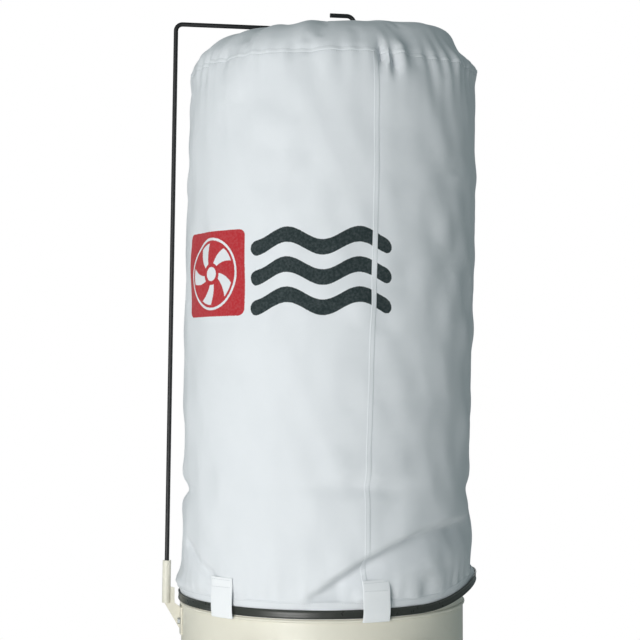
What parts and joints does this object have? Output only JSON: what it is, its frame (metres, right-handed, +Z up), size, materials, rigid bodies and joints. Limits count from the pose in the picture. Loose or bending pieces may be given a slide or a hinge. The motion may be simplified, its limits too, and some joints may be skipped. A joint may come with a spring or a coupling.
{
  "type": "dust collector",
  "caption": "Single-stage bag dust collector: white filter bag over a cream steel drum, chip bag below, blower and motor on a castered base",
  "frame": {"origin": "on the floor, under the middle of the base plate", "axes": "+Z up along the bags; front, with the intake ports, towards -Y; blower and hanger rod on the -X side"},
  "size_m": [1, 0.6, 1.958],
  "materials": {
    "cream_paint": "semi-gloss powder coat",
    "filter_felt": "matte needle felt",
    "bag_webbing": "matte woven tape",
    "lower_bag_cloth": "matte woven cloth",
    "black_rod": "satin black enamel",
    "clamp_band": "semi-gloss dark enamel",
    "zinc": "zinc plated",
    "steel": "machined",
    "tyre_rubber": "matte",
    "motor_paint": "satin",
    "copper": "varnished laminations and windings",
    "hose": "semi-matte",
    "black_plastic": "fine texture",
    "green_plastic": "gloss",
    "red_plastic": "gloss"
  },
  "bodies": {
    "machine": {"base_plate": "cream_paint", "caster_plates": "zinc", "caster_bolts": "zinc", "support_legs": "cream_paint", "leg_bolts": "zinc", "drum": "cream_paint", "inlet_baffle": "cream_paint", "hanger_bracket": "cream_paint", "hanger_bolts": "zinc", "hanger_rod": "black_rod", "upper_bag": "filter_felt", "hang_loop": "bag_webbing", "upper_belt_loops": "bag_webbing", "upper_clamp_band": "clamp_band", "lower_bag": "lower_bag_cloth", "lower_belt_loops": "bag_webbing", "lower_clamp_band": "clamp_band", "blower_housing": "cream_paint", "blower_back_plate": "cream_paint", "blower_bolts": "zinc", "outlet_adapter": "cream_paint", "transfer_hose": "hose", "hose_clamps": "zinc", "twin_intake": "cream_paint", "motor_pedestal": "cream_paint", "motor_feet": "motor_paint", "mount_bolts": "zinc", "motor_front_bell": "motor_paint", "motor_frame": "motor_paint", "motor_rear_bell": "motor_paint", "stator": "copper", "bearings": "steel", "fan_cover": "motor_paint", "switch_box": "black_plastic", "cord_gland": "black_plastic", "capacitor": "steel", "capacitor_cover": "motor_paint"},
    "caster_fl": {"caster_fork_fl": "zinc"},
    "caster_fr": {"caster_fork_fr": "zinc"},
    "caster_rl": {"caster_fork_rl": "zinc"},
    "caster_rr": {"caster_fork_rr": "zinc"},
    "wheel_fl": {"caster_wheel_fl": "tyre_rubber"},
    "wheel_fr": {"caster_wheel_fr": "tyre_rubber"},
    "wheel_rl": {"caster_wheel_rl": "tyre_rubber"},
    "wheel_rr": {"caster_wheel_rr": "tyre_rubber"},
    "brake_fl": {"caster_brake_fl": "zinc"},
    "brake_fr": {"caster_brake_fr": "zinc"},
    "spinner": {"rotor": "steel", "motor_shaft": "steel", "impeller": "steel", "impeller_bolt": "steel", "cooling_fan": "black_plastic"},
    "start": {"start_button": "green_plastic"},
    "stop": {"stop_button": "red_plastic"},
    "upper_lever": {"upper_clamp_lever": "clamp_band"},
    "upper_bail": {"upper_clamp_bail": "zinc"},
    "lower_lever": {"lower_clamp_lever": "clamp_band"},
    "lower_bail": {"lower_clamp_bail": "zinc"},
    "cap": {"intake_cap": "black_plastic"}
  },
  "joints": [
    {"name": "swivel_fl", "type": "hinge", "parent": "machine", "child": "caster_fl", "pos_m": [-0.425, -0.225, 0.083], "axis": [0, 0, 1], "continuous": true},
    {"name": "roll_fl", "type": "hinge", "parent": "caster_fl", "child": "wheel_fl", "pos_m": [-0.397, -0.225, 0.0375], "axis": [0, 1, 0], "continuous": true},
    {"name": "swivel_fr", "type": "hinge", "parent": "machine", "child": "caster_fr", "pos_m": [0.425, -0.225, 0.083], "axis": [0, 0, 1], "continuous": true},
    {"name": "roll_fr", "type": "hinge", "parent": "caster_fr", "child": "wheel_fr", "pos_m": [0.453, -0.225, 0.0375], "axis": [0, 1, 0], "continuous": true},
    {"name": "swivel_rl", "type": "hinge", "parent": "machine", "child": "caster_rl", "pos_m": [-0.425, 0.225, 0.083], "axis": [0, 0, 1], "continuous": true},
    {"name": "roll_rl", "type": "hinge", "parent": "caster_rl", "child": "wheel_rl", "pos_m": [-0.397, 0.225, 0.0375], "axis": [0, 1, 0], "continuous": true},
    {"name": "swivel_rr", "type": "hinge", "parent": "machine", "child": "caster_rr", "pos_m": [0.425, 0.225, 0.083], "axis": [0, 0, 1], "continuous": true},
    {"name": "roll_rr", "type": "hinge", "parent": "caster_rr", "child": "wheel_rr", "pos_m": [0.453, 0.225, 0.0375], "axis": [0, 1, 0], "continuous": true},
    {"name": "brake_fl", "type": "hinge", "parent": "caster_fl", "child": "brake_fl", "pos_m": [-0.392, -0.225, 0.082], "axis": [0, 1, 0], "range_deg": [0, 10]},
    {"name": "brake_fr", "type": "hinge", "parent": "caster_fr", "child": "brake_fr", "pos_m": [0.458, -0.225, 0.082], "axis": [0, 1, 0], "range_deg": [0, 10]},
    {"name": "shaft_spin", "type": "hinge", "parent": "machine", "child": "spinner", "pos_m": [-0.265, 0, 0.33], "axis": [0, 1, 0], "continuous": true},
    {"name": "start_press", "type": "slide", "parent": "machine", "child": "start", "axis": [0, 0, -1], "range_m": [0, 0.004], "stiffness_N_per_m": 400, "springref_m": -0.002},
    {"name": "stop_press", "type": "slide", "parent": "machine", "child": "stop", "axis": [0, 0, -1], "range_m": [0, 0.004], "stiffness_N_per_m": 400, "springref_m": -0.002},
    {"name": "upper_lever_hinge", "type": "hinge", "parent": "machine", "child": "upper_lever", "pos_m": [0.19011, 0.2623, 0.902], "axis": [0, 0, -1], "range_deg": [0, 130]},
    {"name": "upper_bail_hinge", "type": "hinge", "parent": "upper_lever", "child": "upper_bail", "pos_m": [0.18039, 0.26506, 0.902], "axis": [0, 0, -1], "range_deg": [-130, 0]},
    {"name": "lower_lever_hinge", "type": "hinge", "parent": "machine", "child": "lower_lever", "pos_m": [0.24989, -0.2623, 0.658], "axis": [0, 0, -1], "range_deg": [0, 130]},
    {"name": "lower_bail_hinge", "type": "hinge", "parent": "lower_lever", "child": "lower_bail", "pos_m": [0.25961, -0.26506, 0.658], "axis": [0, 0, -1], "range_deg": [-130, 0]},
    {"name": "cap_pull", "type": "slide", "parent": "machine", "child": "cap", "axis": [0, -1, 0], "range_m": [0, 0.1]}
  ],
  "couplings": [
    {"joint": "upper_bail_hinge", "follows": "upper_lever_hinge", "ratio": -1},
    {"joint": "lower_bail_hinge", "follows": "lower_lever_hinge", "ratio": -1}
  ]
}
